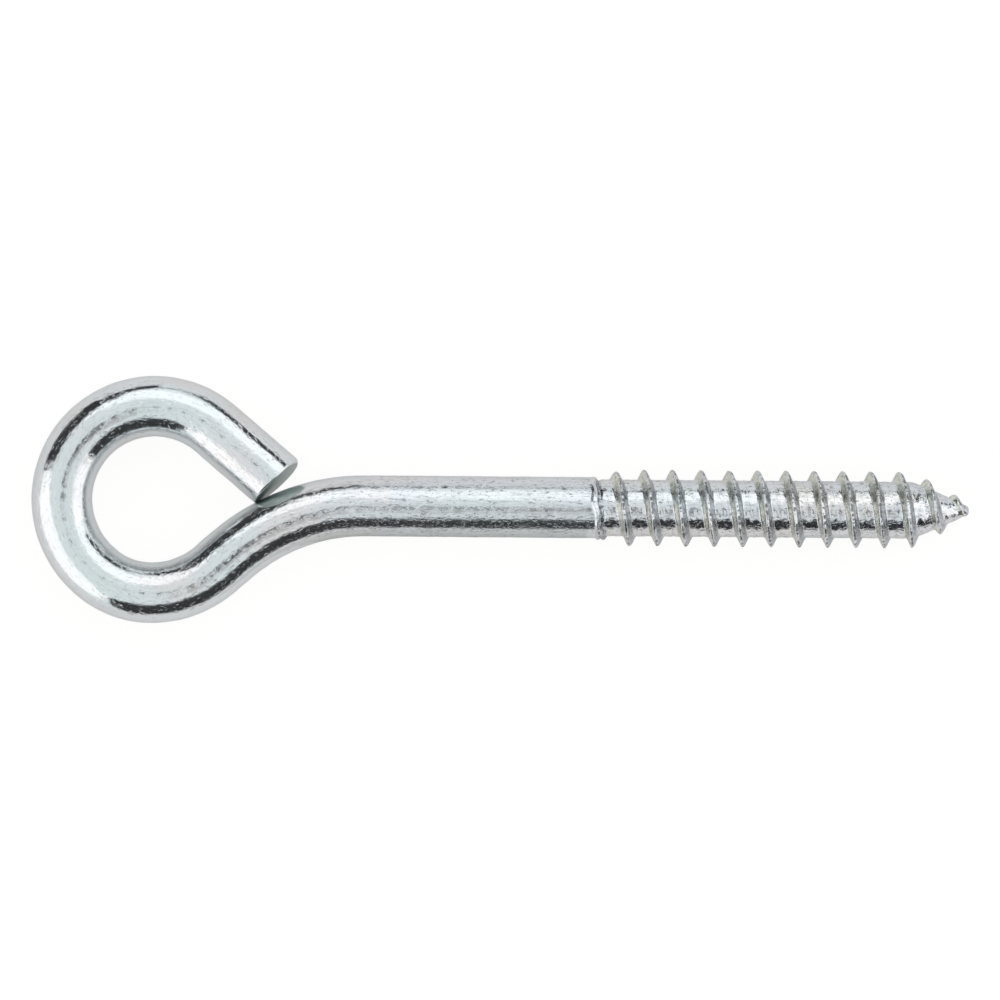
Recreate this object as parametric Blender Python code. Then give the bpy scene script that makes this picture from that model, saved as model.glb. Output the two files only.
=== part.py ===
"""Screw eye: one length of plated steel wire, bent into an eye and thread-rolled to a gimlet point.

Metres. The shank lies along X and the eye lies flat in the XY plane. The origin is on the shank's
axis where the rolled thread starts: the point is at +X and the eye at -X. The wire is one piece of
steel, modelled as six lengths of it, each a closed solid with its own name.
"""

import math

import bmesh
import bpy
from mathutils import Matrix, Vector

# Driving dimensions of the wire form
WIRE_DIAMETER = 0.0062
SHANK_LENGTH = 0.0236  # straight, unthreaded wire between the thread and the neck
NECK_RADIUS = 0.0203  # bend of the wire's centreline below the eye
LEG_LENGTH = 0.0022  # short straight between the neck and the eye
EYE_BORE = 0.0127  # clear width inside the round of the eye
EYE_OFFSET = 0.0005  # how far the eye's centre stands above the shank's axis
TAIL_ANGLE = math.radians(40.4)  # how steeply the closing tail runs down to the neck
CUT_TILT = math.radians(7.0)  # lean of the tail's sheared end, out of the eye's plane
CUT_SKEW = math.radians(6.0)  # skew of the sheared end in the eye's plane, longer on its outer side
CUT_CHAMFER = 0.0002  # broken edge round the sheared end

# Driving dimensions of the thread
THREADED_LENGTH = 0.0377  # from the first turn to the end of the point
THREAD_MAJOR = 0.0078  # diameter over the crests
THREAD_ROOT = 0.0058  # diameter of the core
THREAD_PITCH = 0.00288
RIDGE_BASE = 0.0014  # width of the ridge where it leaves the core
RIDGE_CREST = 0.00026  # width of the flat on the crest
RIDGE_PHASE = 0.00182  # where the first crest passes the +Y side
RUN_IN = 0.0029  # length over which the ridge rises to its full height
RUN_IN_SHARE = 0.3  # share of the full height that the ridge starts with
POINT_LENGTH = 0.0059
POINT_RIDGE_SHARE = 0.55  # share of the full height that the ridge keeps at the point's end
TIP_RADIUS = 0.00085
TIP_ROUNDING = 0.0004
RUN_OUT = 0.0012  # length over which the last turn dies away at the tip

# Clearances between solids
SECTION_GAP = 0.0003  # between one length of the wire and the next
CLOSING_GAP = 0.0003  # between the tail's cut end and the neck

# Fineness of the facets
WIRE_SIDES = 32
THREAD_SIDES = 24
BEND_STEP = math.radians(5.0)
SMOOTH_ANGLE = math.radians(35.0)
MERGE_DISTANCE = 1e-6

WIRE_RADIUS = WIRE_DIAMETER / 2
EYE_RADIUS = EYE_BORE / 2 + WIRE_RADIUS  # to the wire's centreline
POINT_START = THREADED_LENGTH - POINT_LENGTH
RIDGE_HEIGHT = (THREAD_MAJOR - THREAD_ROOT) / 2


# ---------------------------------------------------------------- the wire's route

def heading_vector(heading):
    return Vector((math.cos(heading), math.sin(heading), 0.0))


def left_of(heading):
    return Vector((-math.sin(heading), math.cos(heading), 0.0))


def after_straight(place, heading, length):
    """The place and heading at the end of a straight run."""
    return place + heading_vector(heading) * length, heading


def after_bend(place, heading, radius, turn):
    """The place and heading at the end of a bend, to the left where the turn is positive."""
    side = math.copysign(radius, turn)
    centre = place + left_of(heading) * side
    return centre - left_of(heading + turn) * side, heading + turn


def neck_angle():
    """The turn of the neck that lifts the eye's centre to EYE_OFFSET above the shank's axis."""
    across = EYE_RADIUS + NECK_RADIUS
    reach = math.hypot(across, LEG_LENGTH)
    return math.acos((NECK_RADIUS + EYE_OFFSET) / reach) - math.atan2(LEG_LENGTH, across)


def clearance_to_neck(point):
    """How far a point above the wire is from touching the shank, the neck or the leg."""
    spoke = point - Vector((-SHANK_LENGTH, -NECK_RADIUS, 0.0))
    nearest = min(max(math.atan2(-spoke.x, spoke.y), 0.0), neck_angle())
    return spoke.dot(left_of(nearest)) - NECK_RADIUS - WIRE_RADIUS - CLOSING_GAP


def tail_length(start, heading):
    """How far the tail runs before the inner corner of its cut end closes on the neck."""
    length = 0.0
    for _ in range(80):
        corner = start + heading_vector(heading) * length - left_of(heading) * WIRE_RADIUS
        length += clearance_to_neck(corner)
    return length


# ---------------------------------------------------------------- materials and objects

def zinc(name, colour, roughness):
    """Plated steel: a metal of this colour and roughness."""
    material = bpy.data.materials.new(name)
    material.use_nodes = True
    surface = material.node_tree.nodes["Principled BSDF"]
    surface.inputs["Base Color"].default_value = (*colour, 1.0)
    surface.inputs["Metallic"].default_value = 1.0
    surface.inputs["Roughness"].default_value = roughness
    material.diffuse_color = (*colour, 1.0)
    return material


def close_and_place(mesh, name, material, parent, place=None, heading=0.0):
    """Closes the open ends of a mesh and stands it in the scene as a named object."""
    open_edges = [edge for edge in mesh.edges if edge.is_boundary]
    bmesh.ops.holes_fill(mesh, edges=open_edges, sides=0)
    bmesh.ops.recalc_face_normals(mesh, faces=mesh.faces)
    data = bpy.data.meshes.new(name)
    mesh.to_mesh(data)
    mesh.free()
    data.shade_smooth()
    data.set_sharp_from_angle(angle=SMOOTH_ANGLE)
    data.materials.append(material)
    item = bpy.data.objects.new(name, data)
    item.location = place or Vector()
    item.rotation_euler.z = heading
    item.parent = parent
    bpy.context.scene.collection.objects.link(item)
    return item


# ---------------------------------------------------------------- lengths of plain wire

def wire_circle(mesh):
    """A circle of the wire's section at the origin, square to X."""
    facing_x = Matrix.Rotation(math.pi / 2, 4, "Y")
    bmesh.ops.create_circle(mesh, segments=WIRE_SIDES, radius=WIRE_RADIUS, matrix=facing_x)
    return list(mesh.edges)


def only(kind, items):
    return [item for item in items if isinstance(item, kind)]


def draw_straight(mesh, rim, heading, length):
    """Extends the wire's open rim straight ahead and returns its new rim."""
    made = bmesh.ops.extrude_edge_only(mesh, edges=rim)["geom"]
    step = heading_vector(heading) * length
    bmesh.ops.translate(mesh, verts=only(bmesh.types.BMVert, made), vec=step)
    return only(bmesh.types.BMEdge, made)


def draw_bend(mesh, rim, place, heading, radius, turn):
    """Spins the wire's open rim round the centre of a bend and returns its new rim."""
    corners = list({corner for edge in rim for corner in edge.verts})
    spun = bmesh.ops.spin(
        mesh,
        geom=corners + rim,
        cent=place + left_of(heading) * math.copysign(radius, turn),
        axis=(0.0, 0.0, 1.0),
        angle=turn,
        steps=math.ceil(abs(turn) / BEND_STEP),
    )
    return only(bmesh.types.BMEdge, spun["geom_last"])


def draw_wire(runs):
    """A tube of wire from the origin along X, through (length,) straights and (radius, turn) bends."""
    mesh = bmesh.new()
    rim = wire_circle(mesh)
    place, heading = Vector(), 0.0
    for run in runs:
        if len(run) == 1:
            rim = draw_straight(mesh, rim, heading, *run)
            place, heading = after_straight(place, heading, *run)
        else:
            rim = draw_bend(mesh, rim, place, heading, *run)
            place, heading = after_bend(place, heading, *run)
    return mesh, rim


def draw_tail(length):
    """The closing tail: straight wire to a chamfered end, sheared off askew beyond this length."""
    mesh, rim = draw_wire([(length - CUT_CHAMFER,)])
    shoulder = {corner for edge in rim for corner in edge.verts}
    rim = draw_straight(mesh, rim, 0.0, CUT_CHAMFER)
    lip = {corner for edge in rim for corner in edge.verts}
    for corner in lip:
        corner.co.yz *= 1.0 - CUT_CHAMFER / WIRE_RADIUS
    for corner in shoulder | lip:
        outwards = corner.co.y + WIRE_RADIUS
        corner.co.x += outwards * math.tan(CUT_SKEW) - corner.co.z * math.tan(CUT_TILT)
    return mesh


# ---------------------------------------------------------------- the rolled thread

def core_radius(x):
    """Radius of the threaded core: parallel, then a cone with a rounded tip."""
    if x <= POINT_START:
        return THREAD_ROOT / 2
    taper_length = POINT_LENGTH - TIP_ROUNDING
    share = min((x - POINT_START) / taper_length, 1.0)
    cone = THREAD_ROOT / 2 + (TIP_RADIUS - THREAD_ROOT / 2) * share
    sunk = max(x - (THREADED_LENGTH - TIP_ROUNDING), 0.0)
    return cone - TIP_ROUNDING + math.sqrt(max(TIP_ROUNDING**2 - sunk**2, 0.0))


def ridge_height(x):
    """Height of the ridge above the core, with its run-in, its taper on the point and its run-out."""
    rise = RUN_IN_SHARE + (1.0 - RUN_IN_SHARE) * min(x / RUN_IN, 1.0)
    on_point = max(x - POINT_START, 0.0) / POINT_LENGTH
    taper = 1.0 + (POINT_RIDGE_SHARE - 1.0) * on_point
    fall = min((THREADED_LENGTH - x) / RUN_OUT, 1.0)
    return RIDGE_HEIGHT * rise * taper * fall


def thread_radius(x, turns):
    """Radius of the threaded surface at x, at this many turns round from the +Y side."""
    crest = RIDGE_PHASE + THREAD_PITCH * turns
    aside = abs((x - crest + THREAD_PITCH / 2) % THREAD_PITCH - THREAD_PITCH / 2)
    slope = (RIDGE_BASE - RIDGE_CREST) / 2
    share = min(max((RIDGE_BASE / 2 - aside) / slope, 0.0), 1.0)
    return core_radius(x) + ridge_height(x) * share


def draw_thread(x_from, x_to):
    """The skin of the threaded rod between two square planes.

    Its lines follow the helix: each line holds one corner of the ridge's outline, and the lines that
    would pass a plane are held at it, where their doubled points merge.
    """
    outline = [-RIDGE_BASE / 2, -RIDGE_CREST / 2, RIDGE_CREST / 2, RIDGE_BASE / 2, THREAD_PITCH / 2]
    first_turn = math.floor((x_from - RIDGE_PHASE) / THREAD_PITCH) - 2
    last_turn = math.ceil((x_to - RIDGE_PHASE) / THREAD_PITCH) + 2
    steps = (last_turn - first_turn) * THREAD_SIDES
    mesh = bmesh.new()
    lines = []
    for aside in outline:
        line = []
        for step in range(steps + 1):
            turns = first_turn + step / THREAD_SIDES
            x = min(max(RIDGE_PHASE + THREAD_PITCH * turns + aside, x_from), x_to)
            radius = thread_radius(x, turns)
            angle = math.tau * turns
            line.append(mesh.verts.new((x, radius * math.cos(angle), radius * math.sin(angle))))
        lines.append(line)
    for step in range(steps):
        for near, far in zip(lines, lines[1:]):
            mesh.faces.new((near[step], near[step + 1], far[step + 1], far[step]))
    near, far = lines[-1], lines[0]
    for step in range(steps - THREAD_SIDES):
        ahead = step + THREAD_SIDES
        mesh.faces.new((near[step], near[step + 1], far[ahead + 1], far[ahead]))
    bmesh.ops.remove_doubles(mesh, verts=mesh.verts, dist=MERGE_DISTANCE)
    return mesh


# ---------------------------------------------------------------- the six lengths of the wire

def build_plain_shank(parent):
    """Straight wire, from the thread to the neck."""
    mesh, _ = draw_wire([(SHANK_LENGTH - SECTION_GAP,)])
    coat = zinc("zinc_shank", (0.74, 0.77, 0.78), 0.22)
    close_and_place(mesh, "plain_shank", coat, parent, heading=math.pi)


def build_neck_bend(parent, place, heading):
    """The bend that carries the wire off the shank's axis, and the short leg up to the eye."""
    mesh, _ = draw_wire([(NECK_RADIUS, neck_angle()), (LEG_LENGTH - SECTION_GAP,)])
    coat = zinc("zinc_neck", (0.74, 0.77, 0.78), 0.2)
    close_and_place(mesh, "neck_bend", coat, parent, place, heading)


def build_eye_ring(parent, place, heading, turn):
    """The round of the eye, bent the other way from the neck."""
    mesh, _ = draw_wire([(EYE_RADIUS, turn)])
    coat = zinc("zinc_eye", (0.76, 0.79, 0.8), 0.18)
    close_and_place(mesh, "eye_ring", coat, parent, place, heading)


def build_eye_tail(parent, place, heading):
    """The straight tail that closes the eye, with its sheared end just off the neck."""
    length = tail_length(place, heading)
    mesh = draw_tail(length - SECTION_GAP)
    start, _ = after_straight(place, heading, SECTION_GAP)
    coat = zinc("zinc_tail", (0.76, 0.79, 0.8), 0.2)
    close_and_place(mesh, "eye_tail", coat, parent, start, heading)


def build_threaded_shank(parent):
    """The parallel run of the wood-screw thread, with its run-in next to the plain shank."""
    mesh = draw_thread(SECTION_GAP, POINT_START)
    coat = zinc("zinc_thread", (0.72, 0.75, 0.74), 0.28)
    close_and_place(mesh, "threaded_shank", coat, parent)


def build_gimlet_point(parent):
    """The tapered, threaded point that starts the screw in timber."""
    mesh = draw_thread(POINT_START + SECTION_GAP, THREADED_LENGTH)
    coat = zinc("zinc_point", (0.72, 0.75, 0.74), 0.28)
    close_and_place(mesh, "gimlet_point", coat, parent)


def main():
    for item in list(bpy.data.objects):
        bpy.data.objects.remove(item)
    screw_eye = bpy.data.objects.new("screw_eye", None)
    bpy.context.scene.collection.objects.link(screw_eye)

    neck_start = Vector((-SHANK_LENGTH, 0.0, 0.0))
    leg_start, leg_heading = after_bend(neck_start, math.pi, NECK_RADIUS, neck_angle())
    eye_start, _ = after_straight(leg_start, leg_heading, LEG_LENGTH)
    eye_turn = -(math.pi + neck_angle() + TAIL_ANGLE)
    tail_start, tail_heading = after_bend(eye_start, leg_heading, EYE_RADIUS, eye_turn)

    build_eye_tail(screw_eye, tail_start, tail_heading)
    build_eye_ring(screw_eye, eye_start, leg_heading, eye_turn)
    build_neck_bend(screw_eye, neck_start, math.pi)
    build_plain_shank(screw_eye)
    build_threaded_shank(screw_eye)
    build_gimlet_point(screw_eye)


main()
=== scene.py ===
"""Screw eye: the finished look of the part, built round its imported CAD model.

Metres, in the CAD model's frame: the shank lies along X, the thread starts at the origin and runs to
the point at +X, and the eye lies flat in the XY plane. The real object is one length of plated wire.
Its skin is one continuous surface here too, a radius for each distance along the wire and each angle
round it. That surface is divided where the CAD model divides the wire, so no joint shows.
"""

import math

import bmesh
import bpy
import numpy as np
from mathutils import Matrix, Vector


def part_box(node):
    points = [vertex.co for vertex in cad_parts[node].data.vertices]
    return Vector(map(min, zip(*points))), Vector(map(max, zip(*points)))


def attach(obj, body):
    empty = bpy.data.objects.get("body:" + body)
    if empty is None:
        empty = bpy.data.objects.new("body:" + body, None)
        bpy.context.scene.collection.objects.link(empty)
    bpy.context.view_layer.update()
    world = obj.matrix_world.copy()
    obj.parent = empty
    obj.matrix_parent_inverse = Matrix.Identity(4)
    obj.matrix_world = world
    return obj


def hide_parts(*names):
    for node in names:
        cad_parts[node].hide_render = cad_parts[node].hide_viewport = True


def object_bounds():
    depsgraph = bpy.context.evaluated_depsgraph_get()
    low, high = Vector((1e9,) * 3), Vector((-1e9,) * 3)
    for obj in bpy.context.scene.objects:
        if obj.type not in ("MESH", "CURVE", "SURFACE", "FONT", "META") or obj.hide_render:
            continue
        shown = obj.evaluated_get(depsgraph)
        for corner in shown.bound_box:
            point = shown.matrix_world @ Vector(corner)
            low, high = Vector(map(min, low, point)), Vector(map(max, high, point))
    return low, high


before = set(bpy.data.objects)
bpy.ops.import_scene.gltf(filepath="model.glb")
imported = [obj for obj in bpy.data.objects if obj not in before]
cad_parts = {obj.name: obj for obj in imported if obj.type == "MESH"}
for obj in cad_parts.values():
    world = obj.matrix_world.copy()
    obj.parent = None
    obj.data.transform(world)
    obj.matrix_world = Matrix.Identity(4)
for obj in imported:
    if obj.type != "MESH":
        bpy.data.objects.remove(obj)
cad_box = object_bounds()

# ---------------------------------------------------------------- sizes read from the CAD model

tail_low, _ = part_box("eye_tail")
ring_low, ring_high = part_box("eye_ring")
shank_low, shank_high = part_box("plain_shank")
thread_low, thread_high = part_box("threaded_shank")
_, point_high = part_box("gimlet_point")

SECTION_GAP = 0.0003  # that the CAD model leaves between one length of the wire and the next
WIRE_RADIUS = (shank_high.z - shank_low.z) / 2
SHANK_LENGTH = SECTION_GAP - shank_low.x
EYE_RADIUS = (ring_high.y - ring_low.y) / 2 - WIRE_RADIUS  # to the wire's centreline
EYE_OFFSET = (ring_high.y + ring_low.y) / 2  # height of the eye's centre above the shank's axis
CREST_RADIUS = (thread_high.z - thread_low.z) / 2
POINT_START = thread_high.x
THREAD_END = point_high.x

# ---------------------------------------------------------------- sizes of the finished form

# The wire's bends, as the CAD model has them
NECK_RADIUS = 0.0203
LEG_LENGTH = 0.0022
TAIL_ANGLE = math.radians(40.4)

# How the finished wire departs from them
BEND_EASE = 0.0015  # length over which a bend starts or ends
OVALITY = 0.00002  # how far a bend flattens the wire's section
EYE_SAG = 0.00013  # how far the lower side of the eye hangs out of its true circle
EYE_SAG_PLACE = 0.0105  # along the wire from the start of the eye
LEG_LIFT = 0.00008  # how far the leg sits inside the CAD model's line
SAG_SPREAD = 0.0045  # length over which the sag and the lift fade out
ROUTE_STEP = 0.00002
ROUTE_SPARE = 4 * WIRE_RADIUS  # how far the route runs on past the eye, for the tail

# The sheared end of the tail
CLOSING_REACH = 0.00062  # how far the tail runs on from the CAD model's to rest on the neck
CUT_TILT = math.radians(7.0)  # how far the face leans out of square across the eye's plane
CUT_SKEW = math.radians(6.0)  # and within that plane
CUT_ROUNDING = 0.00022
OUTER_ROUNDING = 0.0004  # further rounding on the side away from the eye
CUT_DOME = 0.00012
SHEAR_MARK = 0.000008
SHEAR_PITCH = 0.0005
SHEAR_FADE = 6  # power with which the marks fade out towards the rim

# The thread, on the CAD model's pitch but with a finer crest and tip
ROOT_RADIUS = 0.00288
THREAD_PITCH = 0.00288
RIDGE_BASE = 0.00132
RIDGE_CREST = 0.00012
RIDGE_PHASE = 0.00182  # where the crest first passes the tail's side of the rod
RIDGE_ROUNDING = 0.6  # share of the ridge's outline that is rounded off at crest and root
RUN_IN = 0.0029
RUN_IN_SHARE = 0.5
RUN_OUT = 0.0012
POINT_RIDGE_SHARE = 0.45
POINT_FULLNESS = 1.15  # above 1, the cone of the point is a little convex
TIP_RADIUS = 0.00055
TIP_ROUNDING = 0.0004
STEP_LENGTH = 0.00035  # where the wire drops to the thread's core
LIP_HEIGHT = 0.00013  # burr that the rolling dies push up at the step
LIP_LENGTH = 0.0002
LIP_UNEVENNESS = 0.35
STEP_WAVE = 0.00008  # how unevenly the step runs round the wire
STEP_SLANT = 0.00035  # how much sooner it comes on the tail's side than on the other
STEP_GROOVE = 0.00013  # depth of the groove that the dies' edge leaves behind the step
STEP_GROOVE_WIDTH = 0.00016
FOLD_DEPTH = 0.00004  # seam that rolling leaves along the crest
FOLD_WIDTH = 0.00007
FOLD_ASIDE = 0.00006

# Unevenness of a drawn, rolled and plated wire
WAVE_HEIGHT = 0.000006
CREST_WAVE = 0.00002
CORE_WAVE = 0.000012

# Fineness of the meshes
WIRE_SIDES = 128
RING_STEP = 0.00025
FINE_STEP = 0.00008  # between rings at the step to the thread
FINE_REACH = 0.0016
THREAD_SIDES = 120
PROFILE_POINTS = 30  # along one pitch of the thread
RIDGE_SHARE = 0.7  # of those points, the share that lies on the ridge
ROUNDING_RINGS = 8
FACE_RINGS = 14
DELTA = 0.00001  # step for the slope of the skin
ANGLE_DELTA = 0.003
SPARE_TURNS = 2  # of the thread's grid beyond each of its end planes, before it is cut there
MERGE_DISTANCE = 1e-7
QUAD_CORNERS = 4  # a face with more corners than the skin's quads is a cap


# ---------------------------------------------------------------- the wire's centreline

def smooth_step(value):
    """0 below 0, 1 above 1, and a smooth S between."""
    share = np.clip(value, 0.0, 1.0)
    return share * share * (3.0 - 2.0 * share)


def neck_turn():
    """The turn of the neck that lifts the eye's centre to EYE_OFFSET above the shank's axis."""
    across = EYE_RADIUS + NECK_RADIUS
    reach = math.hypot(across, LEG_LENGTH)
    return math.acos((NECK_RADIUS + EYE_OFFSET) / reach) - math.atan2(LEG_LENGTH, across)


# Distances back along the wire from the start of the thread
NECK_START = SHANK_LENGTH
NECK_END = NECK_START + NECK_RADIUS * neck_turn()
EYE_START = NECK_END + LEG_LENGTH
EYE_END = EYE_START + EYE_RADIUS * (math.pi + neck_turn() + TAIL_ANGLE)
ROUTE_END = EYE_END + ROUTE_SPARE


def lay_route():
    """The centreline of the bent wire as a table of distance back, x, y, heading and curvature."""
    back = np.arange(0.0, ROUTE_END, ROUTE_STEP)
    curvature = np.zeros_like(back)
    bends = (NECK_START, NECK_END, 1 / NECK_RADIUS), (EYE_START, EYE_END, -1 / EYE_RADIUS)
    for start, end, bend in bends:
        begun = smooth_step((back - start) / BEND_EASE + 0.5)
        ended = smooth_step((back - end) / BEND_EASE + 0.5)
        curvature += bend * (begun - ended)
    heading = math.pi + np.concatenate(([0.0], np.cumsum(curvature[:-1] + curvature[1:]) * ROUTE_STEP / 2))
    middle = (heading[:-1] + heading[1:]) / 2
    x = np.concatenate(([0.0], np.cumsum(np.cos(middle)) * ROUTE_STEP))
    y = np.concatenate(([0.0], np.cumsum(np.sin(middle)) * ROUTE_STEP))
    y -= EYE_SAG * np.exp(-(((back - EYE_START - EYE_SAG_PLACE) / SAG_SPREAD) ** 2))
    y += LEG_LIFT * np.exp(-(((back - EYE_START) / SAG_SPREAD) ** 2))
    return back, x, y, heading, curvature


ROUTE = lay_route()


def tail_end():
    """How far back along the wire the axis of the sheared end lies."""
    back, x, y, heading, _ = ROUTE
    start_y = np.interp(EYE_END, back, y)
    inner_y = start_y - WIRE_RADIUS * math.cos(TAIL_ANGLE)
    length = (inner_y - tail_low.y) / math.sin(TAIL_ANGLE)
    return EYE_END + length + CLOSING_REACH


TAIL_END = tail_end()


# ---------------------------------------------------------------- the wire's skin

def ripples(seed, count, shortest, longest, most_round):
    """A smooth random relief over the wire, about one unit high, as a sum of waves."""
    chance = np.random.default_rng(seed)
    lengths = np.exp(chance.uniform(math.log(shortest), math.log(longest), count))
    rounds = chance.integers(-most_round, most_round + 1, count)
    phases = chance.uniform(0.0, math.tau, count)

    def relief(along, angle):
        total = np.zeros(np.broadcast(along, angle).shape)
        for length, turns, phase in zip(lengths, rounds, phases):
            total += np.cos(math.tau * along / length + turns * angle + phase)
        return total * math.sqrt(2.0 / count)

    return relief


wire_waves = ripples(seed=3, count=40, shortest=0.0012, longest=0.012, most_round=5)
crest_waves = ripples(seed=5, count=30, shortest=0.0008, longest=0.02, most_round=9)
core_waves = ripples(seed=8, count=40, shortest=0.0005, longest=0.004, most_round=12)


def past_step(along, angle):
    """Distance past the start of the step, which runs round the wire at a slant."""
    uneven = STEP_WAVE * crest_waves(0.0 * along, angle)
    return along + STEP_SLANT * np.cos(angle) + uneven


def wire_radius(along, angle):
    """Radius of the plain wire, flattened a little where it is bent."""
    back, _, _, _, curvature = ROUTE
    bent = np.interp(-along, back, np.abs(curvature)) * EYE_RADIUS
    oval = -OVALITY * bent * np.cos(2.0 * angle)
    burr = LIP_HEIGHT * np.exp(-(((past_step(along, angle) + LIP_LENGTH) / LIP_LENGTH) ** 2))
    uneven = 1.0 + LIP_UNEVENNESS * crest_waves(along, angle)
    return WIRE_RADIUS + oval + WAVE_HEIGHT * wire_waves(along, angle) + burr * uneven


def core_radius(along):
    """Radius of the thread's core: parallel, then a cone with a rounded tip."""
    taper_length = THREAD_END - POINT_START - TIP_ROUNDING
    share = np.clip((along - POINT_START) / taper_length, 0.0, 1.0)
    cone = ROOT_RADIUS + (TIP_RADIUS - ROOT_RADIUS) * share**POINT_FULLNESS
    sunk = np.clip(along - (THREAD_END - TIP_ROUNDING), 0.0, TIP_ROUNDING)
    return cone - TIP_ROUNDING + np.sqrt(TIP_ROUNDING**2 - sunk**2)


def ridge_height(along):
    """Height of the thread's ridge, with its run-in, its taper on the point and its run-out."""
    rise = RUN_IN_SHARE + (1.0 - RUN_IN_SHARE) * np.clip(along / RUN_IN, 0.0, 1.0)
    on_point = np.clip((along - POINT_START) / (THREAD_END - POINT_START), 0.0, 1.0)
    taper = 1.0 + (POINT_RIDGE_SHARE - 1.0) * on_point
    fall = np.clip((THREAD_END - along) / RUN_OUT, 0.0, 1.0)
    return (CREST_RADIUS - ROOT_RADIUS) * rise * taper * fall


def ridge_outline(aside):
    """Share of the ridge's height at this distance from the middle of its crest."""
    slope = (RIDGE_BASE - RIDGE_CREST) / 2
    straight = np.clip((RIDGE_BASE / 2 - np.abs(aside)) / slope, 0.0, 1.0)
    return straight + RIDGE_ROUNDING * (smooth_step(straight) - straight)


def beside_crest(along, angle):
    """Distance along the rod from the nearest crest, which winds once round in each pitch."""
    crest = RIDGE_PHASE + THREAD_PITCH * angle / math.tau
    return (along - crest + THREAD_PITCH / 2) % THREAD_PITCH - THREAD_PITCH / 2


def thread_radius(along, angle):
    """Radius of the threaded rod."""
    aside = beside_crest(along, angle)
    share = ridge_outline(aside)
    fold = FOLD_DEPTH * np.exp(-(((aside - FOLD_ASIDE) / FOLD_WIDTH) ** 2))
    height = ridge_height(along) + CREST_WAVE * crest_waves(along, angle) - fold
    return core_radius(along) + share * height + (1.0 - share) * CORE_WAVE * core_waves(along, angle)


def skin_radius(along, angle):
    """Radius of the skin anywhere: plain wire, a step down at the origin, then the thread."""
    past = past_step(along, angle)
    dropped = smooth_step(past / STEP_LENGTH)
    plain = wire_radius(along, angle)
    groove = STEP_GROOVE * np.exp(-(((past - STEP_LENGTH) / STEP_GROOVE_WIDTH) ** 2))
    return plain + (thread_radius(along, angle) - plain) * dropped - groove


def wire_axes(along):
    """Place of the centreline, the directions across and along the wire there, and its curvature."""
    back, x, y, heading, curvature = ROUTE
    on_thread = np.maximum(along, 0.0)
    turned = np.interp(-along, back, heading)
    flat = np.zeros_like(turned)
    place = np.stack([np.interp(-along, back, x) + on_thread, np.interp(-along, back, y), flat], -1)
    across = np.stack([np.sin(turned), -np.cos(turned), flat], -1)
    ahead = np.stack([-np.cos(turned), -np.sin(turned), flat], -1)
    return place, across, ahead, np.interp(-along, back, curvature)


def stand_off(along, angle, radius):
    """Points at this radius from the wire's centreline, with the direction from it."""
    place, across, _, _ = wire_axes(along)
    upright = np.array([0.0, 0.0, 1.0])
    outwards = across * np.cos(angle)[..., None] + upright * np.sin(angle)[..., None]
    return place + outwards * radius[..., None], outwards


def skin(along, angle):
    """Points of the skin and the directions they face."""
    radius = skin_radius(along, angle)
    points, outwards = stand_off(along, angle, radius)
    lengthwise = skin_radius(along + DELTA, angle) - skin_radius(along - DELTA, angle)
    lengthwise = lengthwise / (2 * DELTA)
    sideways = skin_radius(along, angle + ANGLE_DELTA) - skin_radius(along, angle - ANGLE_DELTA)
    sideways = sideways / (2 * ANGLE_DELTA)
    _, across, ahead, curvature = wire_axes(along)
    upright = np.array([0.0, 0.0, 1.0])
    around = upright * np.cos(angle)[..., None] - across * np.sin(angle)[..., None]
    stretch = 1.0 + curvature * radius * np.cos(angle)
    facing = outwards - around * (sideways / radius)[..., None] - ahead * (lengthwise / stretch)[..., None]
    facing /= np.linalg.norm(facing, axis=-1, keepdims=True)
    return points, facing


def wire_space(along, angle, radius):
    """The same points on the wire straightened out, which its grain follows."""
    return np.stack([along, radius * np.cos(angle), radius * np.sin(angle)], -1)


# ---------------------------------------------------------------- grids of points on the skin

def skin_grid(along, angle):
    """Points of the skin, the way they face, their place on the straight wire, and how far from a crest."""
    points, facing = skin(along, angle)
    aside = np.where(along > 0.0, beside_crest(along, angle), THREAD_PITCH)
    return points, facing, wire_space(along, angle, skin_radius(along, angle)), aside[..., None]


def wire_angles(rows):
    """The angles of a ring round the wire, once for each row."""
    return np.tile(np.arange(WIRE_SIDES) * math.tau / WIRE_SIDES, (rows, 1))


def wire_grid(back_from, back_to, step=RING_STEP):
    """Square rings round the wire between two distances back from the thread."""
    rows = math.ceil((back_to - back_from) / step) + 1
    angle = wire_angles(rows)
    along = -np.linspace(back_from, back_to, rows)[:, None] + 0.0 * angle
    return skin_grid(along, angle)


def shank_grid():
    """The plain shank, with finer rings where it steps down to the thread."""
    return joined(wire_grid(0.0, FINE_REACH, FINE_STEP), wire_grid(FINE_REACH + RING_STEP, NECK_START))


def cut_back(angle, radius):
    """How far back the sheared face lies: longer on its outer side, and leaning over."""
    skewed = (WIRE_RADIUS - radius * np.cos(angle)) * math.tan(CUT_SKEW)
    return TAIL_END + skewed - radius * np.sin(angle) * math.tan(CUT_TILT)


def cut_rounding(angle):
    """Radius of the rounded edge of the sheared face."""
    outer = np.clip(-np.cos(angle), 0.0, 1.0)
    return CUT_ROUNDING + OUTER_ROUNDING * outer**2


def tail_grid():
    """The straight tail, whose rings lean over more and more towards its sheared end."""
    rows = math.ceil((TAIL_END - EYE_END) / RING_STEP) + 1
    angle = wire_angles(rows)
    shoulder = cut_back(angle, WIRE_RADIUS) - cut_rounding(angle)
    share = np.linspace(0.0, 1.0, rows)[:, None]
    return skin_grid(-(EYE_END + (shoulder - EYE_END) * share), angle)


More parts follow.
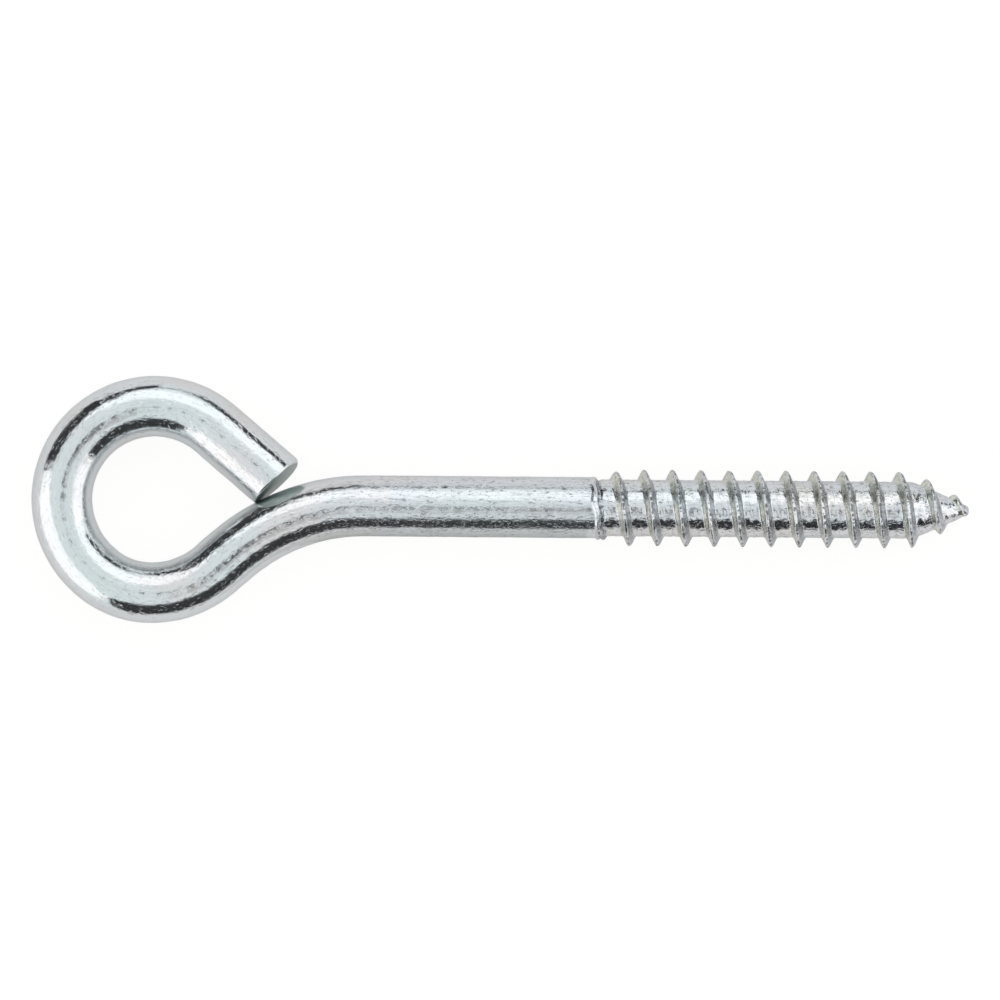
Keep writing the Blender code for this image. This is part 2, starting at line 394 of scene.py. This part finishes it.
def cut_grid():
    """The rounded shoulder and the domed, scored face of the sheared end."""
    turn = np.linspace(0.0, math.pi / 2, ROUNDING_RINGS + 1)[1:, None]
    angle = wire_angles(ROUNDING_RINGS)
    rounding = cut_rounding(angle)
    radius = WIRE_RADIUS - rounding * (1.0 - np.cos(turn))
    back = cut_back(angle, radius) - rounding * (1.0 - np.sin(turn))

    share = np.linspace(1.0, 0.0, FACE_RINGS + 1)[1:-1, None]
    face_angle = wire_angles(FACE_RINGS - 1)
    face_radius = (WIRE_RADIUS - cut_rounding(face_angle)) * share
    marks = np.sin(math.tau * face_radius * np.cos(face_angle) / SHEAR_PITCH)
    dome = CUT_DOME * (1.0 - share**2) + SHEAR_MARK * marks * (1.0 - share**SHEAR_FADE)
    face_back = cut_back(face_angle, face_radius) + dome

    along = -np.concatenate([back, face_back])
    angle = np.concatenate([angle, face_angle])
    radius = np.concatenate([radius, face_radius])
    points, _ = stand_off(along, angle, radius)
    aside = np.full_like(along, THREAD_PITCH)
    return points, np.zeros_like(points), wire_space(along, angle, radius), aside[..., None]


def joined(*grids):
    """One grid made of several, one after another along the wire."""
    return [np.concatenate(parts) for parts in zip(*grids)]


def thread_grid(x_from, x_to):
    """The threaded skin between two planes. Its lines wind with the ridge and are held at the planes."""
    first_turn = math.floor((x_from - RIDGE_PHASE) / THREAD_PITCH) - SPARE_TURNS
    last_turn = math.ceil((x_to - RIDGE_PHASE) / THREAD_PITCH) + SPARE_TURNS
    on_ridge = math.ceil(PROFILE_POINTS * RIDGE_SHARE)
    ridge = np.linspace(-RIDGE_BASE / 2, RIDGE_BASE / 2, on_ridge)
    valley = np.linspace(RIDGE_BASE / 2, THREAD_PITCH - RIDGE_BASE / 2, PROFILE_POINTS - on_ridge + 2)[1:-1]
    profile = np.concatenate([ridge, valley])
    starts = RIDGE_PHASE + THREAD_PITCH * np.arange(first_turn, last_turn)
    rows = (starts[:, None] + profile).reshape(-1, 1)
    angle = np.tile(np.arange(THREAD_SIDES) * math.tau / THREAD_SIDES, (len(rows), 1))
    along = np.clip(rows + THREAD_PITCH * angle / math.tau, x_from, x_to)
    return skin_grid(along, angle)


# ---------------------------------------------------------------- closed pieces

def tube_faces(rows, sides, shift):
    """The quads of a tube whose lines of points close on themselves this many rows further on."""
    row, side = np.meshgrid(np.arange(rows - 1), np.arange(sides), indexing="ij")
    next_row = row + np.where(side == sides - 1, shift, 0)
    next_side = (side + 1) % sides
    corners = (row, side), (next_row, next_side), (next_row + 1, next_side), (row + 1, side)
    quads = np.stack([corner_row * sides + corner_side for corner_row, corner_side in corners], -1)
    return quads[next_row + 1 < rows]


def close_piece(name, grid, shift=0):
    """A closed mesh with this grid of points as its skin and flat caps over its open ends."""
    rows, sides = grid[0].shape[:2]
    mesh = bmesh.new()
    facing_layer = mesh.verts.layers.float_vector.new("facing")
    place_layer = mesh.verts.layers.float_vector.new("wire_space")
    aside_layer = mesh.verts.layers.float.new("beside_crest")
    corners = []
    values_by_corner = [values.reshape(rows * sides, -1).tolist() for values in grid]
    for point, facing, place, aside in zip(*values_by_corner):
        corner = mesh.verts.new(point)
        corner[facing_layer] = facing
        corner[place_layer] = place
        corner[aside_layer] = aside[0]
        corners.append(corner)
    for quad in tube_faces(rows, sides, shift).tolist():
        mesh.faces.new([corners[index] for index in quad])
    bmesh.ops.remove_doubles(mesh, verts=mesh.verts, dist=MERGE_DISTANCE)
    bmesh.ops.delete(mesh, geom=[corner for corner in mesh.verts if not corner.link_faces], context="VERTS")
    bmesh.ops.holes_fill(mesh, edges=[edge for edge in mesh.edges if edge.is_boundary], sides=0)
    bmesh.ops.recalc_face_normals(mesh, faces=mesh.faces)
    data = bpy.data.meshes.new(name)
    mesh.to_mesh(data)
    mesh.free()
    return data


def shade_continuously(data):
    """Shades each skin corner by the unbroken surface, so no seam shows, and keeps the caps flat.

    The sheared end has no facing of its own and keeps the mesh's normals.
    """
    data.shade_smooth()
    facing = np.zeros(len(data.vertices) * 3, np.float32)
    data.attributes["facing"].data.foreach_get("vector", facing)
    facing = facing.reshape(-1, 3)
    normals = np.zeros(len(data.loops) * 3, np.float32)
    data.corner_normals.foreach_get("vector", normals)
    normals = normals.reshape(-1, 3)
    corner_of = np.zeros(len(data.loops), np.int32)
    data.loops.foreach_get("vertex_index", corner_of)
    known = facing[corner_of].any(axis=1)
    normals[known] = facing[corner_of][known]
    for face in data.polygons:
        if face.loop_total > QUAD_CORNERS:
            normals[face.loop_start:face.loop_start + face.loop_total] = face.normal
    data.normals_split_custom_set(normals.tolist())
    data.attributes.remove(data.attributes["facing"])


def finish_piece(node, grid, material, shift=0):
    """The finished piece for one CAD node, riding on the part's only body."""
    data = close_piece("finished_" + node, grid, shift)
    shade_continuously(data)
    data.materials.append(material)
    piece = bpy.data.objects.new("finished_" + node, data)
    bpy.context.scene.collection.objects.link(piece)
    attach(piece, "root")
    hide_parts(node)
    return piece


# ---------------------------------------------------------------- zinc plate

# Colours of the plate, of what lies on it, and of the light and shade painted on the thread's flanks
CLEAN = (0.71, 0.75, 0.757, 1.0)
SHANK_CLEAN = (0.715, 0.74, 0.768, 1.0)
PINKISH = (0.74, 0.725, 0.735, 1.0)
GREENISH = (0.69, 0.75, 0.74, 1.0)
CREAM = (0.77, 0.76, 0.66, 1.0)
GRIMY = (0.42, 0.45, 0.445, 1.0)
STAINED = (0.16, 0.18, 0.21, 1.0)
SHEARED = (0.34, 0.41, 0.38, 1.0)
# Painted light on the thread: a creamy painted reflection for the flank facing the warm umbrella, painted
# grey-blue shade for the flank behind the crest
PAINTED_LIT_FLANK = (0.78, 0.79, 0.66, 1.0)
PAINTED_SHADED_FLANK = (0.42, 0.48, 0.52, 1.0)
SPECKLED = (0.2, 0.21, 0.19, 1.0)
SEAM = (0.1, 0.11, 0.13, 1.0)
EDGE_TINT = (0.85, 0.85, 0.85, 1.0)

# How strongly each of them shows at most
GREEN_SHARE = 0.7
GRIME_SHARE = 0.7
SHEARED_SHARE = 0.8
LIT_FLANK_SHARE = 0.8
SHADED_FLANK_SHARE = 0.5
SPECKLED_SHARE = 0.55
SEAM_SHARE = 0.9

# The noise at which each mark starts to show and at which it shows in full
PINK_NOISE = 0.52, 0.68
GREEN_NOISE = 0.48, 0.32
CREAM_NOISE = 0.42, 0.7
GRIME_NOISE = 0.5, 0.75
STAIN_NOISE = 0.56, 0.66
GROOVE_DARK_NOISE = 0.42, 0.55
SEAM_NOISE = 0.46, 0.54
SPECKLE_NOISE = 0.54, 0.64
PIT_NOISE = 0.58, 0.7
FLECK_NOISE = 0.58, 0.68
DULL_NOISE = 0.3, 0.7

# Distances along the rod from the middle of the crest, likewise
LIT_FLANK_FOOT = -0.00068, -0.00045
LIT_FLANK_TOP = -0.0001, -0.0003
SHADED_FLANK_FOOT = 0.00068, 0.0005
SHADED_FLANK_TOP = 0.0001, 0.00028
SPECKLES_END = 0.0007, 0.0006
ROUGH_RIDGE = 0.0007, 0.0004
SEAM_REACH = 0.00013, 0.00005
GROOVE_DARK_REACH = 0.0003, 0.00012  # from the groove at the step
CUT_REACH = -0.00014, -0.00004  # from the outermost edge of the sheared end

# The bends were rubbed smooth against the bending tools
RUBBED_TO = -0.034  # along the wire from the start of the thread
DRAWN_FROM = -0.019
RUBBED_DRAW = 0.3  # share of the draw lines that is left in the bends
RUBBED_DENTS = 0.5

ROUGHNESS = 0.07
SMOOTHER = 0.03  # how far below it and above it the plate's roughness goes in patches
DULLER = 0.04
WIRE_ROUGHENING = 0.12  # added where the draw lines are whole
THREAD_ROUGHENING = 0.02
CUT_ROUGHENING = 0.2
RIDGE_ROUGHENING = 0.17

DENT_DEPTH = 0.000022
PIT_RATIO = 1.5  # depth of the pits, as a multiple of the pores'


def add(tree, kind, inputs=None, **settings):
    """A shader node with these settings, whose inputs take values or other nodes' sockets."""
    made = tree.nodes.new("ShaderNode" + kind)
    for name, value in settings.items():
        setattr(made, name, value)
    for name, value in (inputs or {}).items():
        if isinstance(value, bpy.types.NodeSocket):
            tree.links.new(value, made.inputs[name])
        else:
            made.inputs[name].default_value = value
    return made


def grain(tree, place, length, width, detail=2.0, roughness=0.5):
    """Noise whose blotches are this long along the wire and this wide across it."""
    stretch = (1.0 / length, 1.0 / width, 1.0 / width)
    scaled = add(tree, "VectorMath", {0: place, 1: stretch}, operation="MULTIPLY").outputs[0]
    inputs = {"Vector": scaled, "Scale": 1.0, "Detail": detail, "Roughness": roughness}
    return add(tree, "TexNoise", inputs).outputs["Fac"]


def spread(tree, value, low, high, to_low=0.0, to_high=1.0):
    """Stretches the range low..high of a value to to_low..to_high, and holds it there."""
    inputs = {"Value": value, "From Min": low, "From Max": high, "To Min": to_low, "To Max": to_high}
    return add(tree, "MapRange", inputs).outputs["Result"]


def tinted(tree, colour, other, share):
    """Mixes two colours by a share."""
    mix = add(tree, "Mix", data_type="RGBA")
    for socket, value in ((mix.inputs[0], share), (mix.inputs[6], colour), (mix.inputs[7], other)):
        if isinstance(value, bpy.types.NodeSocket):
            tree.links.new(value, socket)
        else:
            socket.default_value = value
    return mix.outputs[2]


def raised(tree, height, distance, below=None):
    """Relief of this height in metres on top of the relief below it."""
    inputs = {"Height": height, "Strength": 1.0, "Distance": distance}
    if below is not None:
        inputs["Normal"] = below
    return add(tree, "Bump", inputs).outputs["Normal"]


def product(tree, one, other):
    return add(tree, "Math", {0: one, 1: other}, operation="MULTIPLY").outputs[0]


def added(tree, one, other):
    return add(tree, "Math", {0: one, 1: other}).outputs[0]


def apart(tree, value, middle):
    """How far a value is from this middle, on either side."""
    offset = add(tree, "Math", {0: value, 1: middle}, operation="SUBTRACT").outputs[0]
    return add(tree, "Math", {0: offset}, operation="ABSOLUTE").outputs[0]


def along_direction(tree, place, direction):
    """How far a place lies in a direction, times the direction's length."""
    inputs = {0: place, 1: direction}
    return add(tree, "VectorMath", inputs, operation="DOT_PRODUCT").outputs["Value"]


def on_cut(tree, place):
    """1 on the sheared end of the tail, 0 on the wire behind it."""
    across_face = (-1.0, math.tan(CUT_SKEW), math.tan(CUT_TILT))
    edge = TAIL_END + WIRE_RADIUS * math.tan(CUT_SKEW)
    inside, outside = CUT_REACH
    return spread(tree, along_direction(tree, place, across_face), edge + inside, edge + outside)


def zinc_colour(tree, place, drawn, stain_share, cream_share):
    """The plate's own colour: a film with faint tints, streaks of grime, and dark specks."""
    patches = grain(tree, place, length=0.006, width=0.0022, detail=3.0)
    film = grain(tree, place, length=0.012, width=0.005, detail=2.0)
    streaks = grain(tree, place, length=0.003, width=0.00022, detail=3.0, roughness=0.6)
    specks = grain(tree, place, length=0.0006, width=0.00026, detail=4.0, roughness=0.7)

    colour = tinted(tree, CLEAN, SHANK_CLEAN, drawn)
    colour = tinted(tree, colour, PINKISH, spread(tree, film, *PINK_NOISE))
    colour = tinted(tree, colour, GREENISH, spread(tree, film, *GREEN_NOISE, 0.0, GREEN_SHARE))
    colour = tinted(tree, colour, CREAM, spread(tree, patches, *CREAM_NOISE, 0.0, cream_share))
    grime = spread(tree, streaks, *GRIME_NOISE, 0.0, GRIME_SHARE)
    colour = tinted(tree, colour, GRIMY, product(tree, grime, drawn))
    stain = spread(tree, specks, *STAIN_NOISE, 0.0, stain_share)
    colour = tinted(tree, colour, STAINED, product(tree, stain, drawn))
    # A darker, ragged band along the groove at the step, in the specks' dark colour
    past = along_direction(tree, place, (1.0, STEP_SLANT / WIRE_RADIUS, 0.0))
    in_groove = spread(tree, apart(tree, past, STEP_LENGTH), *GROOVE_DARK_REACH)
    groove_darkening = product(tree, in_groove, spread(tree, specks, *GROOVE_DARK_NOISE))
    colour = tinted(tree, colour, STAINED, groove_darkening)
    return tinted(tree, colour, SHEARED, product(tree, on_cut(tree, place), SHEARED_SHARE))


def ridge_colour(tree, place, aside, colour):
    """Tints the thread's ridge: a painted creamy reflection of the warm light on the flank facing the eye,
    painted grey-blue shade on the one behind, and a dark seam between.
    """
    broken = grain(tree, place, length=0.0006, width=0.0004, detail=3.0)
    # Painted reflection: the flank that faces the eye and the warm umbrella is tinted lighter and creamier
    lit_flank = product(tree, spread(tree, aside, *LIT_FLANK_FOOT), spread(tree, aside, *LIT_FLANK_TOP))
    colour = tinted(tree, colour, PAINTED_LIT_FLANK, product(tree, lit_flank, LIT_FLANK_SHARE))
    # Painted shade: the flank behind the crest is tinted darker and grey-blue
    shaded_flank = product(tree, spread(tree, aside, *SHADED_FLANK_FOOT), spread(tree, aside, *SHADED_FLANK_TOP))
    colour = tinted(tree, colour, PAINTED_SHADED_FLANK, product(tree, shaded_flank, SHADED_FLANK_SHARE))
    on_ridge = spread(tree, apart(tree, aside, 0.0), *SPECKLES_END)
    speckled = product(tree, spread(tree, broken, *SPECKLE_NOISE), on_ridge)
    colour = tinted(tree, colour, SPECKLED, product(tree, speckled, SPECKLED_SHARE))
    at_seam = spread(tree, apart(tree, aside, FOLD_ASIDE), *SEAM_REACH)
    seam = product(tree, at_seam, spread(tree, broken, *SEAM_NOISE))
    return tinted(tree, colour, SEAM, product(tree, seam, SEAM_SHARE))


def zinc_plate(name, line_depth, pit_depth, stain_share, cream_share, threaded=False):
    """Bright zinc over drawn steel: draw lines along the wire, fine pits, and a faint film of colour.

    The bends were rubbed smooth against the bending tools, so the lines are deepest on the shank.
    """
    material = bpy.data.materials.new(name)
    material.use_nodes = True
    tree = material.node_tree
    surface = tree.nodes["Principled BSDF"]
    place = add(tree, "Attribute", attribute_name="wire_space").outputs["Vector"]
    along = add(tree, "SeparateXYZ", {"Vector": place}).outputs["X"]
    drawn = spread(tree, along, RUBBED_TO, DRAWN_FROM, RUBBED_DRAW, 1.0)

    colour = zinc_colour(tree, place, drawn, stain_share, cream_share)
    if threaded:
        aside = add(tree, "Attribute", attribute_name="beside_crest").outputs["Fac"]
        colour = ridge_colour(tree, place, aside, colour)
    tree.links.new(colour, surface.inputs["Base Color"])

    dull = grain(tree, place, length=0.004, width=0.0015, detail=3.0)
    rough = spread(tree, dull, *DULL_NOISE, ROUGHNESS - SMOOTHER, ROUGHNESS + DULLER)
    rough = added(tree, rough, product(tree, drawn, THREAD_ROUGHENING if threaded else WIRE_ROUGHENING))
    rough = added(tree, rough, product(tree, on_cut(tree, place), CUT_ROUGHENING))
    if threaded:
        from_crest = apart(tree, aside, 0.0)
        rough = added(tree, rough, spread(tree, from_crest, *ROUGH_RIDGE, 0.0, RIDGE_ROUGHENING))
    tree.links.new(rough, surface.inputs["Roughness"])

    dents = grain(tree, place, length=0.0012, width=0.0007, detail=2.0)
    draw_lines = grain(tree, place, length=0.0014, width=0.00022, detail=3.0, roughness=0.65)
    pores = grain(tree, place, length=0.0003, width=0.00026, detail=3.0, roughness=0.7)
    pits = grain(tree, place, length=0.0005, width=0.0003, detail=3.0)
    flecks = grain(tree, place, length=0.0004, width=0.0002, detail=2.0)
    left_by_rubbing = spread(tree, drawn, RUBBED_DRAW, 1.0, RUBBED_DENTS, 1.0)
    relief = raised(tree, product(tree, dents, left_by_rubbing), DENT_DEPTH)
    relief = raised(tree, product(tree, draw_lines, drawn), line_depth, relief)
    relief = raised(tree, product(tree, spread(tree, flecks, *FLECK_NOISE), drawn), line_depth, relief)
    relief = raised(tree, pores, pit_depth, relief)
    relief = raised(tree, spread(tree, pits, *PIT_NOISE), -pit_depth * PIT_RATIO, relief)
    tree.links.new(relief, surface.inputs["Normal"])

    surface.inputs["Metallic"].default_value = 1.0
    surface.inputs["Specular Tint"].default_value = EDGE_TINT
    return material


# ---------------------------------------------------------------- the studio

LENS_HEIGHT = 0.55  # camera above the object
VIEW_WIDTH = 0.1016  # what the frame takes in at the object
SENSOR = 36.0
CAMERA_TURN = math.radians(0.464)
AIM_ABOVE = 0.0002  # aim beyond the middle of the object, across the shank
AWAY = 1.0  # distance of the lights and flags round the object
FLOOR_SIZE = 6.0
FLOOR_GAP = 0.00005

# Colours of surfaces, and how much light each gives off by itself
LIT_TABLE = (0.1, 0.1, 0.1), 0.93
MATT_TABLE = (0.64, 0.62, 0.62), 0.29
# Painted shadow: the grey sheet that stands for the shank's cast shadow on the mirrored floor
PAINTED_SHADOW_SHEET = (0.5, 0.5, 0.48), 0.22
CARD_FINISHES = {
    "black_card": ((0.03, 0.031, 0.034), 0.02),
    "grey_card": ((0.3, 0.3, 0.3), 0.38),
}
GLOW_COLOUR = (1.0, 0.995, 0.99, 1.0)

ROOM_COLOUR = (0.94, 0.985, 1.0, 1.0)
ROOM_LIGHT = 0.96
WHITE = (1.0, 1.0, 1.0)
WARM = (1.0, 0.85, 0.82)
ROSY = (1.0, 0.96, 0.98)

# Each soft light: azimuth, elevation, degrees wide and high, radiance, colour, shape
SOFTBOXES = {
    "umbrella": (202, 24, 70, 54, 0.49, WARM, "ELLIPSE"),
    "side_box": (-9, 22, 50, 46, 0.43, WARM, "RECTANGLE"),
    "long_box": (75, 46, 110, 34, 0.42, ROSY, "RECTANGLE"),
    "long_fill": (75, 21, 110, 16, 0.12, WHITE, "RECTANGLE"),
}

# Each dark flag: azimuth, elevation, degrees wide and high, roll in degrees
FLAGS = {
    "flag_front": (283, 22, 76, 45, 0.0),
    "flag_back": (142, 15, 44, 44, 12.0),
    "flag_corner": (108, 14, 32, 15, 14.0),
    "flag_low": (82, 13, 32, 3.5, 0.0),
    "flag_tail": (53, 17, 42, 17, -12.0),
}

# Each card beside the lens: width, height, place from the object's middle, turn in degrees, finish
REFLECTOR_HEIGHT = 1.1 * LENS_HEIGHT
LENS_CARDS = {
    "camera_body": (0.048, 0.17, (0.009, -0.083, LENS_HEIGHT), 40.0, "black_card"),
    "camera_arm": (0.14, 0.028, (0.05, -0.02, LENS_HEIGHT), 0.0, "black_card"),
    "reflector_edge": (0.16, 0.28, (0.06, -0.2, REFLECTOR_HEIGHT), 0.0, "grey_card"),
}

# The grey sheet that paints the shank's shadow on the mirrored floor: its size and its place
SHADOW_STRIP_SIZE = 0.027, 0.03  # along and across the shank
SHADOW_STRIP_PLACE = -0.0145, -0.0185


def plain_material(name, colour, glow):
    """Matt surface of one colour that also glows, as a lit table or card does."""
    material = bpy.data.materials.new(name)
    material.use_nodes = True
    surface = material.node_tree.nodes["Principled BSDF"]
    surface.inputs["Base Color"].default_value = (*colour, 1.0)
    surface.inputs["Roughness"].default_value = 1.0
    surface.inputs["Specular IOR Level"].default_value = 0.0
    surface.inputs["Emission Color"].default_value = GLOW_COLOUR
    surface.inputs["Emission Strength"].default_value = glow
    return material


def card(name, width, height, material):
    """A flat card that faces along its own Z."""
    mesh = bmesh.new()
    bmesh.ops.create_grid(mesh, x_segments=1, y_segments=1, size=0.5)
    bmesh.ops.scale(mesh, verts=mesh.verts, vec=(width, height, 1.0))
    data = bpy.data.meshes.new(name)
    mesh.to_mesh(data)
    mesh.free()
    data.materials.append(material)
    made = bpy.data.objects.new(name, data)
    bpy.context.scene.collection.objects.link(made)
    return made


def lay_floor():
    """A pale, lit table under the object, and under it the matt one that the metal mirrors."""
    lit = card("floor", FLOOR_SIZE, FLOOR_SIZE, plain_material("pale_table", *LIT_TABLE))
    lit.location.z = cad_box[0][2]
    lit.visible_glossy = False
    lit.visible_diffuse = False
    lit.visible_shadow = False
    matt = card("mirrored_floor", FLOOR_SIZE, FLOOR_SIZE, plain_material("matt_table", *MATT_TABLE))
    matt.location.z = cad_box[0][2] - FLOOR_GAP
    matt.visible_camera = False


def object_middle():
    low, high = cad_box
    return Vector([(near + far) / 2 for near, far in zip(low, high)])


def aim(item, azimuth, elevation):
    """Puts an item out in this direction from the object and turns its -Z towards it."""
    azimuth, elevation = math.radians(azimuth), math.radians(elevation)
    out = Vector((
        math.cos(elevation) * math.cos(azimuth),
        math.cos(elevation) * math.sin(azimuth),
        math.sin(elevation),
    ))
    item.location = object_middle() + out * AWAY
    item.rotation_euler = out.to_track_quat("Z", "Y").to_euler()


def subtend(degrees):
    """The width that takes up this angle, as the object sees it."""
    return 2 * AWAY * math.tan(math.radians(degrees) / 2)


def softbox(name, azimuth, elevation, wide, high, radiance, colour, shape):
    """A soft light whose face takes up wide by high degrees as the object sees it."""
    light = bpy.data.lights.new(name, "AREA")
    light.shape = shape
    light.size = subtend(wide)
    light.size_y = subtend(high)
    face = light.size * light.size_y * (math.pi / 4 if shape == "ELLIPSE" else 1.0)
    light.energy = radiance * math.pi * face
    light.color = colour
    made = bpy.data.objects.new(name, light)
    bpy.context.scene.collection.objects.link(made)
    made.visible_camera = False
    aim(made, azimuth, elevation)


def flag(name, azimuth, elevation, wide, high, roll, material):
    """A dark card that takes up wide by high degrees and gives the metal its dark bands."""
    made = card(name, subtend(wide), subtend(high), material)
    made.visible_camera = False
    aim(made, azimuth, elevation)
    made.rotation_euler.rotate_axis("Z", math.radians(roll))


def lens_card(name, width, height, place, turn, material):
    """A card beside the lens, which the top of the wire mirrors."""
    made = card(name, width, height, material)
    made.visible_camera = False
    made.location = object_middle() + Vector(place)
    made.rotation_euler.z = math.radians(turn)


def painted_shadow_strip():
    """A grey sheet let into the table in front of the shank: a painted shadow of the shank, which the
    shank's lower side mirrors, so it greys that side.
    """
    strip = card("painted_shadow_strip", *SHADOW_STRIP_SIZE, plain_material("painted_shadow_sheet", *PAINTED_SHADOW_SHEET))
    strip.visible_camera = False
    strip.visible_shadow = False
    strip.location = Vector((*SHADOW_STRIP_PLACE, cad_box[0][2] - FLOOR_GAP / 2))


def light_studio():
    world = bpy.data.worlds.new("pale_room")
    world.use_nodes = True
    background = world.node_tree.nodes["Background"]
    background.inputs["Color"].default_value = ROOM_COLOUR
    background.inputs["Strength"].default_value = ROOM_LIGHT
    bpy.context.scene.world = world

    for name, settings in SOFTBOXES.items():
        softbox(name, *settings)
    finishes = {name: plain_material(name, *settings) for name, settings in CARD_FINISHES.items()}
    for name, settings in FLAGS.items():
        flag(name, *settings, finishes["black_card"])
    for name, (*settings, finish) in LENS_CARDS.items():
        lens_card(name, *settings, finishes[finish])
    painted_shadow_strip()


def set_camera():
    """The camera looks straight down on the eye's plane."""
    data = bpy.data.cameras.new("camera")
    data.sensor_width = SENSOR
    data.lens = SENSOR * LENS_HEIGHT / VIEW_WIDTH
    camera = bpy.data.objects.new("camera", data)
    camera.location = object_middle() + Vector((0.0, AIM_ABOVE, LENS_HEIGHT))
    camera.rotation_euler.z = CAMERA_TURN
    bpy.context.scene.collection.objects.link(camera)
    bpy.context.scene.camera = camera


# ---------------------------------------------------------------- the finished object

def finish_object():
    wire = zinc_plate(
        "zinc_wire", line_depth=0.000009, pit_depth=0.000008, stain_share=0.7, cream_share=0.12
    )
    thread = zinc_plate(
        "zinc_thread", line_depth=0.000006, pit_depth=0.000012, stain_share=0.9, cream_share=0.3,
        threaded=True,
    )
    finish_piece("eye_tail", joined(tail_grid(), cut_grid()), wire)
    finish_piece("eye_ring", wire_grid(EYE_START, EYE_END), wire)
    finish_piece("neck_bend", wire_grid(NECK_START, EYE_START), wire)
    finish_piece("plain_shank", shank_grid(), wire)
    finish_piece("threaded_shank", thread_grid(0.0, POINT_START), thread, shift=PROFILE_POINTS)
    finish_piece("gimlet_point", thread_grid(POINT_START, THREAD_END), thread, shift=PROFILE_POINTS)


set_camera()
lay_floor()
light_studio()
finish_object()
bpy.context.scene.view_settings.view_transform = "Standard"
